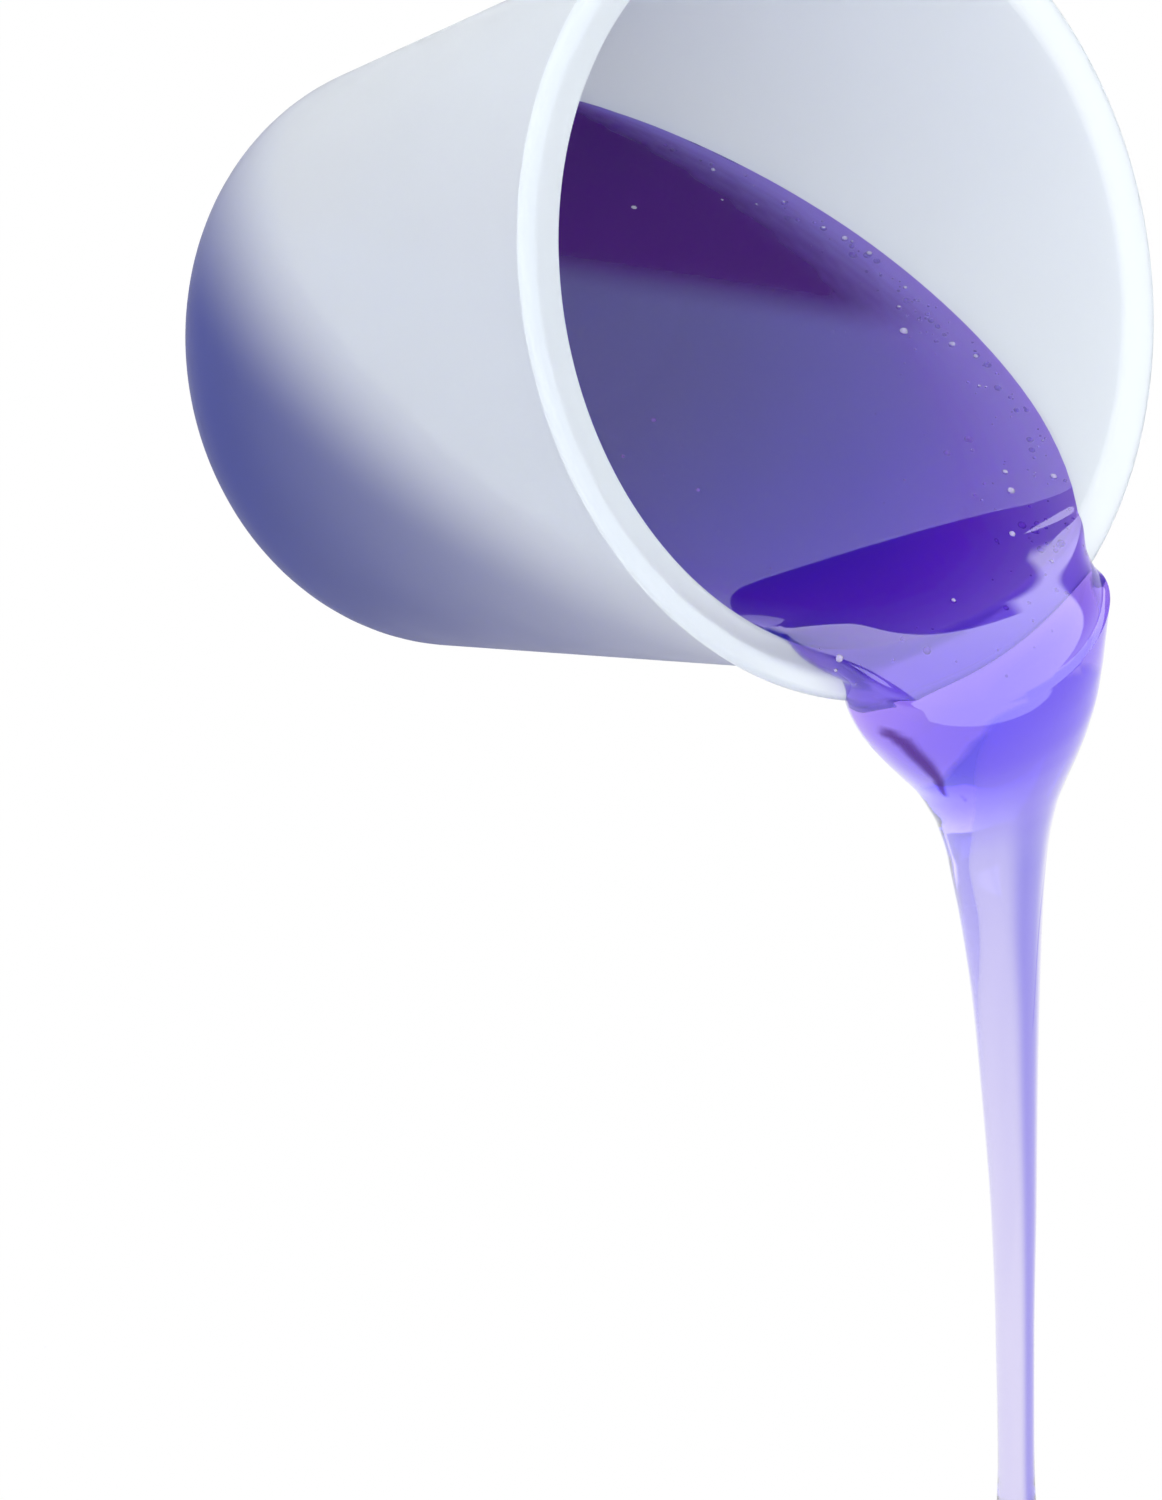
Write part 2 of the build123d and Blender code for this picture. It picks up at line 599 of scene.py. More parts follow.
def run_tree(
    piece: bpy.types.Object, graph: Graph, keys: dict[str, str], values: dict[str, object]
) -> None:
    """Run a tree on a piece and keep the result as its plain mesh.

    Args:
        piece: The piece that the tree starts from.
        graph: The tree's graph.
        keys: Each input's identifier by name.
        values: Each input's value by name.
    """
    modifier = piece.modifiers.new(graph.tree.name, "NODES")
    modifier.node_group = graph.tree
    for name, value in values.items():
        modifier[keys[name]] = value
    depsgraph = bpy.context.evaluated_depsgraph_get()
    made = bpy.data.meshes.new_from_object(piece.evaluated_get(depsgraph))
    piece.modifiers.remove(modifier)
    old = piece.data
    piece.data = made
    made.name = piece.name
    bpy.data.meshes.remove(old)


def smooth_curve(places: tuple, values: tuple, wanted: np.ndarray) -> np.ndarray:
    """Read a smooth curve that passes through given values and never overshoots them.

    Args:
        places: Where the values are given, rising.
        values: The values there.
        wanted: Where to read the curve.

    Returns:
        The curve's values.
    """
    x, y = np.array(places, float), np.array(values, float)
    step = np.diff(x)
    slope = np.diff(y) / step
    tangent = np.zeros(len(x))
    same_way = slope[1:] * slope[:-1] > 0
    before, after = slope[:-1][same_way], slope[1:][same_way]
    tangent[1:-1][same_way] = 2 * before * after / (before + after)
    tangent[0], tangent[-1] = slope[0], slope[-1]
    at = np.clip(np.searchsorted(x, wanted, side="right") - 1, 0, len(x) - 2)
    share = (wanted - x[at]) / step[at]
    rest = 1 - share
    eased = share**2 * (1 + 2 * rest)
    bend = (tangent[at] * share * rest**2 - tangent[at + 1] * share**2 * rest) * step[at]
    return y[at] + (y[at + 1] - y[at]) * eased + bend


def softened(share: np.ndarray) -> np.ndarray:
    """Hold a share between 0 and 1 and ease it near both."""
    share = np.clip(share, 0.0, 1.0)
    return share**2 * (3 - 2 * share)


def hump(values: np.ndarray, middle: float, spread: float) -> np.ndarray:
    """Make a smooth hump.

    Args:
        values: Where it is read.
        middle: Where it is highest.
        spread: How far from there it has fallen to about a third.

    Returns:
        Its height, 1 in the middle.
    """
    return np.exp(-(((values - middle) / spread) ** 2))


class CupAxes:
    """The cup's own directions in the shared frame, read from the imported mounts."""

    def __init__(self, record: dict) -> None:
        """Read the base's middle and the direction that the cup's mouth faces."""
        mounts = {mount["name"]: mount for mount in record["mounts"]}
        base = mounts["base_rest"]
        self.foot = np.array(base["pos_m"], float)
        self.out = -np.array(base["axis"], float)
        self.out /= np.linalg.norm(self.out)
        self.across = np.array((0.0, 1.0, 0.0))
        self.down = np.cross(self.across, self.out)
        self.lean = math.asin(self.out[2])

    def point(self, height: np.ndarray, radius: np.ndarray, turn: np.ndarray) -> np.ndarray:
        """Find points by their place in the cup.

        Args:
            height: Distance from the base along the axis.
            radius: Distance from the axis.
            turn: Angle round the axis, 0 at the lowest side and rising towards +Y.

        Returns:
            The points, one a row.
        """
        height, radius, turn = np.broadcast_arrays(height, radius, turn)
        ray = np.cos(turn)[..., None] * self.down + np.sin(turn)[..., None] * self.across
        return self.foot + height[..., None] * self.out + radius[..., None] * ray

    def read(self, points: np.ndarray) -> tuple[np.ndarray, np.ndarray, np.ndarray]:
        """Find the place of points in the cup.

        Args:
            points: The points, one a row.

        Returns:
            Their heights, radii and angles.
        """
        away = points - self.foot
        height = away @ self.out
        low, side = away @ self.down, away @ self.across
        return height, np.hypot(low, side), np.arctan2(side, low)


@dataclass
class MixingCup:
    """The silicone cup: one thin moulding with a flat, outturned rim."""

    axes: CupAxes
    finish: Finish
    rim_diameter: float = 75.0 * MM
    rim_width: float = 4.0 * MM
    rim_thickness: float = 1.4 * MM
    height: float = 72.0 * MM
    wall: float = 1.7 * MM
    floor: float = 2.2 * MM
    corner_round: float = 14.0 * MM
    taper: float = math.radians(6.4)
    rim_edge_round: float = 0.55 * MM
    mouth_edge_round: float = 0.7 * MM
    under_rim_round: float = 0.9 * MM
    sharp_angle: float = math.radians(50)
    wall_rows: int = 28
    segments: int = 240

    @property
    def rim_radius(self) -> float:
        """Radius of the rim's outer edge."""
        return self.rim_diameter / 2

    @property
    def mouth_radius(self) -> float:
        """Radius of the mouth."""
        return self.rim_radius - self.rim_width

    def inner_radius(self, height: float | np.ndarray) -> float | np.ndarray:
        """Radius of the straight inner wall at a height, or at each of several."""
        return self.mouth_radius - (self.height - height) * math.tan(self.taper)

    def outline(self) -> list[tuple[float, float]]:
        """Work out the moulding's half section, with its corners rounded.

        Returns:
            Points of radius and height, from the base's middle round to the floor's middle.
        """
        under = self.height - self.rim_thickness
        corners = [
            (0.0, 0.0, 0.0),
            (self.inner_radius(0.0) + self.wall, 0.0, self.corner_round),
            (self.inner_radius(under) + self.wall, under, self.under_rim_round),
            (self.rim_radius, under, self.rim_edge_round),
            (self.rim_radius, self.height, self.rim_edge_round),
            (self.mouth_radius, self.height, self.mouth_edge_round),
            (self.inner_radius(self.floor), self.floor, self.corner_round - self.wall),
            (0.0, self.floor, 0.0),
        ]
        rounded = []
        for before, corner, after in zip(corners, corners[1:], corners[2:]):
            rounded.extend(round_corner(before, corner, after))
        loose = [corners[0][:2], *rounded, corners[-1][:2]]
        return spaced(loose, self.height / self.wall_rows)

    def build(self) -> bpy.types.Object:
        """Revolve the half section about the cup's axis.

        Returns:
            The cup, riding on its body in place of the plain solid.
        """
        outline = np.array([(radius, 0.0, height) for radius, height in self.outline()])
        piece = mesh_object("silicone_cup", outline, [], None)
        vector = "NodeSocketVector"
        graph, start, keys = new_tree(
            "Revolve an outline",
            [("Segments", "NodeSocketInt"), ("Foot", vector), ("Out", vector), ("Down", vector),
             ("Across", vector), ("Material", "NodeSocketMaterial")],
        )
        rows = graph.add("GeometryNodeAttributeDomainSize", {}, {"Geometry": start}, "Point Count")
        columns = start.at("Segments") + 1
        sheet = graph.add("GeometryNodeMeshGrid", {}, {"Vertices X": columns, "Vertices Y": rows})
        number = graph.add("GeometryNodeInputIndex")
        row = number % rows
        column = graph.math("FLOOR", number / rows)
        outline_point = graph.add(
            "GeometryNodeSampleIndex",
            {"data_type": "FLOAT_VECTOR", "domain": "POINT"},
            {"Geometry": start, "Value": graph.add("GeometryNodeInputPosition"), "Index": row},
        )
        radius = graph.add("ShaderNodeSeparateXYZ", {}, {0: outline_point}, "X")
        turn = column / start.at("Segments") * math.tau
        place = start.at("Foot")
        parts = (
            (start.at("Out"), radius.at("Z")),
            (start.at("Down"), radius * graph.math("COSINE", turn)),
            (start.at("Across"), radius * graph.math("SINE", turn)),
        )
        for direction, amount in parts:
            place = graph.vector("ADD", place, graph.vector("SCALE", direction, amount))
        turned = graph.add("GeometryNodeSetPosition", {}, {"Geometry": sheet, "Position": place})
        end_tree(graph, turned, start.at("Material"))
        run_tree(piece, graph, keys, {
            "Segments": self.segments,
            "Foot": tuple(self.axes.foot),
            "Out": tuple(self.axes.out),
            "Down": tuple(self.axes.down),
            "Across": tuple(self.axes.across),
            "Material": self.finish.material(),
        })
        close_and_smooth(piece, self.sharp_angle)
        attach(piece, "cup")
        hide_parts("cup")
        return piece


def round_corner(
    before: tuple, corner: tuple, after: tuple, steps: int = 20
) -> list[tuple[float, float]]:
    """Round a corner of an outline with an arc.

    Args:
        before: The corner before it, as radius, height and round.
        corner: The corner.
        after: The corner after it.
        steps: How many spans the arc has.

    Returns:
        The arc's points, or the corner itself where its round is zero.
    """
    place = np.array(corner[:2])
    if corner[2] == 0:
        return [tuple(place)]
    one = np.array(before[:2]) - place
    two = np.array(after[:2]) - place
    one /= np.linalg.norm(one)
    two /= np.linalg.norm(two)
    half = math.acos(float(one @ two)) / 2
    middle = place + (one + two) / np.linalg.norm(one + two) * corner[2] / math.sin(half)
    start = place + one * corner[2] / math.tan(half) - middle
    end = place + two * corner[2] / math.tan(half) - middle
    span = math.pi - 2 * half
    points = []
    for step in range(steps + 1):
        share = step / steps
        mixed = start * math.sin((1 - share) * span) + end * math.sin(share * span)
        points.append(tuple(middle + mixed / math.sin(span)))
    return points


def spaced(points: list[tuple[float, float]], longest: float) -> list[tuple[float, float]]:
    """Divide an outline's long spans evenly.

    Args:
        points: The outline's points.
        longest: The longest span allowed.

    Returns:
        The points with the new ones between them.
    """
    finer = []
    for start, end in zip(points, points[1:]):
        parts = max(1, math.ceil(math.dist(start, end) / longest))
        for part in range(parts):
            share = part / parts
            finer.append(tuple(one + (two - one) * share for one, two in zip(start, end)))
    return [*finer, points[-1]]


@dataclass
class PouredResin:
    """The resin: one body of liquid, from the bottom of the cup over the rim to its last drop."""

    axes: CupAxes
    cup: MixingCup
    finish: Finish
    clearance: float = 0.15 * MM

    # Its open surface: a sloping plane, drawn down towards the lip and risen at the wall
    pour_depth: float = 5.6 * MM
    surface_fall: float = math.radians(16.5)
    surface_lean: float = math.radians(4.0)
    draw_down: float = 0.6 * MM
    draw_length: float = 7.0 * MM
    edge_rise: float = 0.55 * MM
    edge_reach: float = 1.3 * MM
    edge_growth: float = 6.0

    # The lip, which turns over the rim
    lip_depth: float = 9.2 * MM
    lip_bend: float = 3.0
    film: float = 0.2 * MM
    edge_steep: float = 0.85
    edge_delay: float = 0.7
    near_haste: float = 0.8
    far_haste: float = 0.8
    leaving_near: float = math.radians(-27.5)
    leaving_far: float = math.radians(25.5)
    rim_squareness: int = 8
    least_glance: float = 0.15
    least_slope: float = 0.02
    least_level_share: float = 0.5

    # The fall, in millimetres from the rim's lowest point: how far down, then half the width,
    # where its middle lies across, its front, side edges and back along the pour, how much it
    # follows the rim's curve, and how round its section is
    drops: tuple = (
        -1.53, 0.6, 2.2, 4.0, 6.3, 8.6, 11.0, 13.2, 18.2,
        25.0, 34.0, 43.0, 56.0, 73.0, 87.0, 92.6, 96.0, 98.0,
    )
    half_widths: tuple = (
        15.8, 14.25, 13.15, 11.85, 10.3, 8.9, 7.7, 6.67, 5.35,
        4.44, 3.46, 2.93, 2.36, 1.83, 1.83, 2.03, 2.56, 2.98,
    )
    middles: tuple = (
        -0.55, -1.2, -1.3, -1.1, -0.7, -0.3, -0.14, -0.03, 0.3,
        0.36, 0.34, 0.33, 0.33, 0.2, 0.2, 0.1, 0.0, 0.0,
    )
    fronts: tuple = (
        7.4, 8.2, 8.5, 8.6, 8.3, 7.7, 6.95, 6.35, 5.5,
        5.2, 5.45, 5.6, 5.87, 6.17, 6.4, 6.8, 7.4, 7.9,
    )
    edges: tuple = (
        -0.57, -0.4, 0.1, 0.7, 1.1, 1.3, 1.3, 1.3, 1.4,
        1.96, 2.6, 3.1, 3.77, 4.3, 4.6, 4.8, 4.85, 4.9,
    )
    backs: tuple = (
        -0.57, -0.9, -2.0, -3.0, -3.0, -2.95, -2.8, -2.7, -2.4,
        -1.3, -0.25, 0.6, 1.67, 2.4, 2.8, 2.8, 2.3, 1.9,
    )
    bends: tuple = (
        1.0, 0.85, 0.7, 0.5, 0.28, 0.12, 0.04, 0.0, 0.0,
        0.0, 0.0, 0.0, 0.0, 0.0, 0.0, 0.0, 0.0, 0.0,
    )
    crowns: tuple = (
        0.85, 0.85, 0.86, 0.87, 0.88, 0.9, 0.93, 0.96, 1.0,
        1.0, 1.0, 1.0, 1.0, 1.0, 1.0, 1.0, 1.0, 1.0,
    )
    drop_radius: float = 3.0 * MM

    # Where it touches the cup, how thick it is along a slanting line, and its dark part, whose
    # edge runs between two places in millimetres
    wet_margin: float = 4.0 * MM
    thick_way: tuple = (-0.45, 0.40, -0.80)
    thickest: float = 60.0 * MM
    thick_steps: int = 40
    shade_edge: tuple = ((22.1, 21.4, 1.3), (4.4, 0.0, 8.1))
    shade_border: float = 7.0 * MM
    shade_gain: float = 5.0
    shade_start: float = 0.2

    # The painted shade along the fold and the crease down the stream, and the painted dark
    # reflection in the crescent-shaped hollow, whose path is in millimetres
    fold_turn: float = math.radians(88)
    fold_width: float = math.radians(27)
    fold_share: float = 0.85
    crease_start: float = math.radians(52)
    crease_end: float = math.radians(90)
    crease_width: float = math.radians(4)
    crease_top: float = -34.0 * MM
    crease_length: float = 23.0 * MM
    crease_strength: float = 1.5
    crescent_path: tuple = (
        (57.0, -15.9, -14.6), (58.1, -15.4, -14.8), (59.1, -14.5, -15.8),
        (60.1, -13.0, -18.2), (60.3, -11.7, -20.0), (59.7, -10.0, -22.8),
    )
    crescent_width: float = 0.75 * MM
    crescent_tip_share: float = 0.3
    crescent_share: float = 0.9
    edge_sharpness: int = 4

    # The painted see-through shade: the resin behind the cup's wall, painted into its colour
    see_through_depth: float = 13.0 * MM
    see_through_above_share: float = 0.2
    see_through_fade: float = 0.95
    see_through_fade_power: float = 1.5
    see_through_gap_share: float = 1.5
    see_through_border: float = 2.0 * MM

    # How fine the mesh is
    sharp_angle: float = math.radians(38)
    half_ring: int = 84
    floor_rings: int = 4
    corner_rings: int = 18
    pool_rings: int = 64
    lip_rings: int = 36
    fall_rings: int = 150
    end_rings: int = 10
    pool_spacing: float = 1.7
    fall_spacing: float = 1.25
    first_ring_share: float = 0.02
    least_share: float = 0.01
    search_steps: int = 4000
    patch_start: int = 2
    patch_margin: int = 6

    def __post_init__(self) -> None:
        """Work out the surface's plane and the middle of the rim's section."""
        cup = self.cup
        fall = Matrix.Rotation(self.surface_fall, 3, "Y")
        lean = Matrix.Rotation(-self.surface_lean, 3, "X")
        self.normal = np.array(lean @ (fall @ Vector((0, 0, 1))))
        low = self.axes.point(cup.height, cup.mouth_radius, 0.0)
        self.on_surface = low + np.array((0.0, 0.0, self.pour_depth))
        self.rim_low = self.axes.point(cup.height, cup.rim_radius, 0.0)
        self.pivot_height = cup.height - cup.rim_thickness / 2
        steeper = Matrix.Rotation(self.draw_down / self.draw_length, 3, "Y")
        self.lip_normal = np.array(steeper @ Vector(self.normal))
        self.pivot_radius = cup.rim_radius - cup.rim_width / 2
        self.alpha = np.linspace(0.0, math.tau, 2 * self.half_ring, endpoint=False)

    def wall_radius(self, height: float) -> float:
        """Radius of the liquid where it meets the cup's inner wall.

        Args:
            height: Height above the base.

        Returns:
            The radius, less the clearance.
        """
        cup = self.cup
        curve = cup.corner_round - cup.wall
        centre = cup.floor + curve / math.cos(cup.taper)
        straight = cup.inner_radius(height)
        if height >= centre:
            return straight - self.clearance
        side = cup.inner_radius(centre) - curve
        rise = min((centre - height) / curve, 1.0)
        return min(side + curve * math.sqrt(1 - rise**2), straight) - self.clearance

    def surface_across(self, height: float, radius: float) -> tuple[float, float]:
        """Find where the surface's plane cuts a circle round the axis.

        Args:
            height: The circle's height above the base.
            radius: Its radius.

        Returns:
            The angle of the plane's own highest direction from straight up the mouth, and the
            half angle from it to each crossing, which is 0 where the circle lies under the plane.
        """
        up = -self.axes.down
        centre = self.axes.foot + height * self.axes.out
        rise, side = float(self.normal @ up), float(self.normal @ self.axes.across)
        drawn = self.draw_down * math.exp((height - self.pivot_height) / self.draw_length)
        gap = (float(self.normal @ (self.on_surface - centre)) - drawn) / math.hypot(rise, side)
        return math.atan2(side, rise), math.acos(min(max(gap / radius, -1.0), 1.0))

    def pool_ring(self, height: float, radius: float, meniscus: float) -> np.ndarray:
        """Lay out a ring of the pool, square to the cup's axis.

        Args:
            height: Its height above the base.
            radius: The wall's radius there.
            meniscus: The share of the edge's rise that it has.

        Returns:
            The ring's points, the surface first and then the wall.
        """
        tilt, half = self.surface_across(height, radius)
        front = self.alpha <= math.pi
        flat = np.cos(self.alpha) * math.sin(half) * radius
        level = np.full_like(flat, math.cos(half) * radius)
        wet = math.pi + (math.pi - half) * np.cos(self.alpha)
        side = np.where(front, flat, -radius * np.sin(wet))
        rise = np.where(front, level, radius * np.cos(wet))
        from_wall = math.sin(half) * radius * (1 - np.abs(np.cos(self.alpha)))
        growth = self.edge_growth * self.edge_reach
        narrow = min(1.0, math.sin(half) * radius / growth)
        lift = self.edge_rise * meniscus * narrow * np.exp(-from_wall / self.edge_reach)
        rise = rise + np.where(front, lift, 0.0)
        reach = np.hypot(side, rise)
        squeeze = np.minimum(1.0, radius / np.maximum(reach, radius * self.least_share))
        squeeze = np.where(front, squeeze, 1.0)
        side, rise = side * squeeze, rise * squeeze
        up = -self.axes.down
        across = self.axes.across
        crown = math.cos(tilt) * up + math.sin(tilt) * across
        beside = math.cos(tilt) * across - math.sin(tilt) * up
        centre = self.axes.foot + height * self.axes.out
        return centre + side[:, None] * beside + rise[:, None] * crown

    def pool(self) -> list[np.ndarray]:
        """Lay out the pool's rings from the middle of the floor to the mouth.

        Returns:
            The rings.
        """
        cup = self.cup
        curve = cup.corner_round - cup.wall
        floor = cup.floor + self.clearance
        centre = cup.floor + curve
        flat = self.wall_radius(floor)
        first = next(
            height
            for height in np.linspace(floor, self.pivot_height, self.search_steps)
            if self.surface_across(height, self.wall_radius(height))[1] > 0
        )
        shares = np.linspace(self.first_ring_share, 1.0, self.floor_rings)
        rings = [self.pool_ring(floor, flat * share, 0.0) for share in shares]
        steepest = math.acos(min((centre - first) / curve, 1.0))
        start = math.acos(min((centre - floor) / curve, 1.0))
        for share in np.linspace(0.0, 1.0, self.corner_rings)[1:]:
            height = centre - curve * math.cos(start + (steepest - start) * share)
            rings.append(self.pool_ring(height, self.wall_radius(height), 0.0))
        growth = self.edge_growth * self.edge_reach
        for share in np.linspace(0.0, 1.0, self.pool_rings)[1:]:
            height = first + (self.pivot_height - first) * share**self.pool_spacing
            fade = min(1.0, (self.pivot_height - height) / growth)
            rings.append(self.pool_ring(height, self.wall_radius(height), fade))
        return rings

    def rim_reach(self, slant: float) -> float:
        """Distance from the middle of the rim's section to just outside it.

        Args:
            slant: The direction's angle from the mouth's outward direction.

        Returns:
            The distance.
        """
        thick, wide = self.cup.rim_thickness / 2, self.cup.rim_width / 2
        power = self.rim_squareness
        inverse = abs(math.cos(slant) / thick) ** power + abs(math.sin(slant) / wide) ** power
        return inverse ** (-1 / power) + self.clearance

    def lip(self) -> list[np.ndarray]:
        """Lay out the rings that turn over the rim, about the middle of its section.

        Returns:
            The rings.
        """
        axes = self.axes
        tilt, half = self.surface_across(self.pivot_height, self.wall_radius(self.pivot_height))
        far, near = math.pi - half - tilt, half - math.pi - tilt
        front = self.alpha <= math.pi
        arch = np.abs(np.sin(self.alpha))
        across_rim = axes.point(self.pivot_height, self.pivot_radius, 0.0)
        drop = float((self.on_surface - across_rim) @ self.normal) - self.draw_down
        lip_start = across_rim - axes.down * drop / float(self.normal @ -axes.down)
        rings = []
        for share in np.linspace(0.0, 1.0, self.lip_rings)[1:]:
            turn = (math.pi / 2 + axes.lean) * (1 - share)
            slant = turn - axes.lean
            edge_far = far + (self.leaving_far - far) * share**self.far_haste
            edge_near = near + (self.leaving_near - near) * share**self.near_haste
            spin = (edge_far + edge_near) / 2 + (edge_far - edge_near) / 2 * np.cos(self.alpha)
            ray = np.cos(spin)[:, None] * axes.down + np.sin(spin)[:, None] * axes.across
            start = axes.foot + self.pivot_height * axes.out + self.pivot_radius * ray
            way = math.cos(slant) * axes.out - math.sin(slant) * ray
            inside = self.rim_reach(slant)
            glance = np.maximum(way @ self.lip_normal, self.least_glance)
            level = (lip_start - start) @ self.lip_normal / glance
            curtain = self.lip_depth / max(math.cos(turn), self.least_slope)
            level = np.maximum(level, inside * self.least_level_share)
            reach = (level**-self.lip_bend + curtain**-self.lip_bend) ** (-1 / self.lip_bend)
            over = reach - inside
            steep = self.edge_steep * share**self.edge_delay
            depth = (over + np.hypot(over, self.film)) / 2 * arch**steep
            rings.append(start + np.where(front, inside + depth, inside)[:, None] * way)
        return rings

    def clear_of_rim(self, points: np.ndarray) -> np.ndarray:
        """Push points that lie in the rim's section just outside it.

        Args:
            points: The points.

        Returns:
            The points, moved where needed.
        """
        height, radius, turn = self.axes.read(points)
        soft = self.cup.rim_edge_round
        half = np.array((self.cup.rim_thickness / 2, self.cup.rim_width / 2)) - soft
        away = np.stack((height - self.pivot_height, radius - self.pivot_radius), -1)
        outer = np.abs(away) - half
        corner = np.maximum(outer, 0.0)
        length = np.linalg.norm(corner, axis=-1)
        distance = length + np.minimum(outer.max(-1), 0.0) - soft
        sideways = np.eye(2)[outer.argmax(-1)]
        cornerways = corner / np.maximum(length, TINY)[:, None]
        direction = np.where(length[:, None] > 0, cornerways, sideways)
        direction = direction * np.where(away < 0, -1.0, 1.0)
        push = np.maximum(self.clearance - distance, 0.0)[:, None] * direction
        return self.axes.point(height + push[:, 0], radius + push[:, 1], turn)

    def fall(self) -> list[np.ndarray]:
        """Lay out the level rings from the rim down to the middle of the last drop.

        Returns:
            The rings.
        """
        shares = np.linspace(0.0, 1.0, self.fall_rings)[1:]
        wanted = self.drops[0] + (self.drops[-1] - self.drops[0]) * shares**self.fall_spacing
        tables = (
            self.half_widths, self.middles, self.fronts, self.edges,
            self.backs, self.bends, self.crowns,
        )
        curves = [smooth_curve(self.drops, table, wanted) for table in tables]
        sine = np.sin(self.alpha)
        rings = []
        for drop, half_width, middle, ahead, edge, behind, bend, crown in zip(wanted, *curves):
            across = (middle + half_width * np.cos(self.alpha)) * MM
            bulge = np.sign(sine) * np.abs(sine) ** crown
            along = edge + np.where(sine > 0, (ahead - edge) * bulge, (edge - behind) * bulge)
            ring = np.zeros((len(self.alpha), 3))
            ring[:, 0] = self.rim_low[0] + along * MM
            ring[:, 2] = self.rim_low[2] - drop * MM
            height, radius, _ = self.axes.read(ring)
            bent = self.axes.point(height, radius, np.arcsin(across / self.pivot_radius))
            ring[:, 1] = across
            rings.append(self.clear_of_rim(ring + (bent - ring) * bend))
        return rings

    def last_drop(self, ring: np.ndarray) -> list[np.ndarray]:
        """Close the stream with a rounded drop.

        Args:
            ring: The ring round the drop's middle.

        Returns:
            The rings under it.
        """
        centre = ring.mean(axis=0)
        rings = []
        for share in np.linspace(0.0, 1.0, self.end_rings)[1:]:
            turn = share * math.pi / 2
            lower = centre + (ring - centre) * max(math.cos(turn), self.least_share)
            lower[:, 2] -= self.drop_radius * math.sin(turn)
            rings.append(lower)
        return rings

    def wetted(self, rings: list[np.ndarray]) -> np.ndarray:
        """Mark where the resin lies on the cup or close to its rim, since no air parts them there.

        Args:
            rings: All the rings in order.

        Returns:
            1 for each such point and 0 for the others.
        """
        height, radius, _ = self.axes.read(np.concatenate(rings))
        away = np.stack((height - self.pivot_height, radius - self.pivot_radius), -1)
        half = np.array((self.cup.rim_thickness, self.cup.rim_width)) / 2
        at_rim = np.all(np.abs(away) < half + self.wet_margin, axis=-1)
        behind = np.tile((self.alpha >= math.pi) | (self.alpha == 0), len(rings))
        in_cup = len(self.pool()) + self.lip_rings - 1
        held = np.arange(len(behind)) < len(self.alpha) * in_cup
        return (behind & (held | at_rim)).astype(float)

    def shade(self, rings: list[np.ndarray]) -> np.ndarray:
        """Mark the open surface at the back of the pool, which mirrors nothing bright.

        Args:
            rings: All the rings in order.

        Returns:
            1 in that part, falling to 0 over its soft border.
        """
        points = np.concatenate(rings)
        start, end = (np.array(place) * MM for place in self.shade_edge)
        along = (end - start) / np.linalg.norm(end - start)
        inwards = np.cross(along, self.normal)
        dark = softened((points - start) @ inwards / self.shade_border + 0.5)
        depth = np.clip(self.thickness(rings) * self.shade_gain - self.shade_start, 0.0, 1.0)
        return dark * depth * np.tile(self.alpha <= math.pi, len(rings))

    def thickness(self, rings: list[np.ndarray]) -> np.ndarray:
        """Work out how much resin lies under each point of the open surface.

        Args:
            rings: All the rings in order.

        Returns:
            The length of resin along a slanting line, as a share of the longest.
        """
        points = np.concatenate(rings)
        way = np.array(self.thick_way) / np.linalg.norm(self.thick_way)
        inside = np.ones(len(points), bool)
        length = np.zeros(len(points))
        for step in range(1, self.thick_steps + 1):
            away = self.thickest * step / self.thick_steps
            height, radius, _ = self.axes.read(points + way * away)
            inside &= (radius < self.cup.inner_radius(height)) & (height > self.cup.floor)
            length += inside / self.thick_steps
        return length

    def painted_crescent(self, rings: list[np.ndarray]) -> np.ndarray:
        """Mark a painted dark reflection in the small crescent-shaped hollow on the near flank.

        Args:
            rings: All the rings in order.

        Returns:
            1 along its middle, falling to 0 at its tapered edges.
        """
        points = np.concatenate(rings)
        path = np.array(self.crescent_path) * MM
        depth = np.zeros(len(points))
        for number, (start, end) in enumerate(zip(path, path[1:])):
            along = end - start
            share = np.clip((points - start) @ along / (along @ along), 0.0, 1.0)
            distance = np.linalg.norm(points - start - share[:, None] * along, axis=1)
            taper = np.sin(math.pi * (number + share) / (len(path) - 1))
            width = self.crescent_tip_share + (1 - self.crescent_tip_share) * taper
            here = np.exp(-((distance / (self.crescent_width * width)) ** self.edge_sharpness))
            depth = np.maximum(depth, here)
        return depth * np.tile(self.alpha <= math.pi, len(rings))

    def fold_shade(self, rings: list[np.ndarray]) -> np.ndarray:
        """Mark shade painted along the fold and fine crease down the front of the falling stream.

        Args:
            rings: All the rings in order.

        Returns:
            How deep they are at each point, from 1 down to 0 on both sides of them.
        """
        off_fold = (self.alpha - self.fold_turn) / self.fold_width
        fold_shade = self.fold_share * np.exp(-(off_fold**self.edge_sharpness))
        heights = np.array([ring[:, 2].mean() for ring in rings])
        drop = (self.crease_top - heights) / self.crease_length
        turn = self.crease_start + (self.crease_end - self.crease_start) * drop
        crease = hump(self.alpha, turn[:, None], self.crease_width)
        fade = np.clip(self.crease_strength - np.abs(drop - 0.5) * 2, 0.0, 1.0)
        return np.maximum(fold_shade, crease * fade[:, None]).ravel()

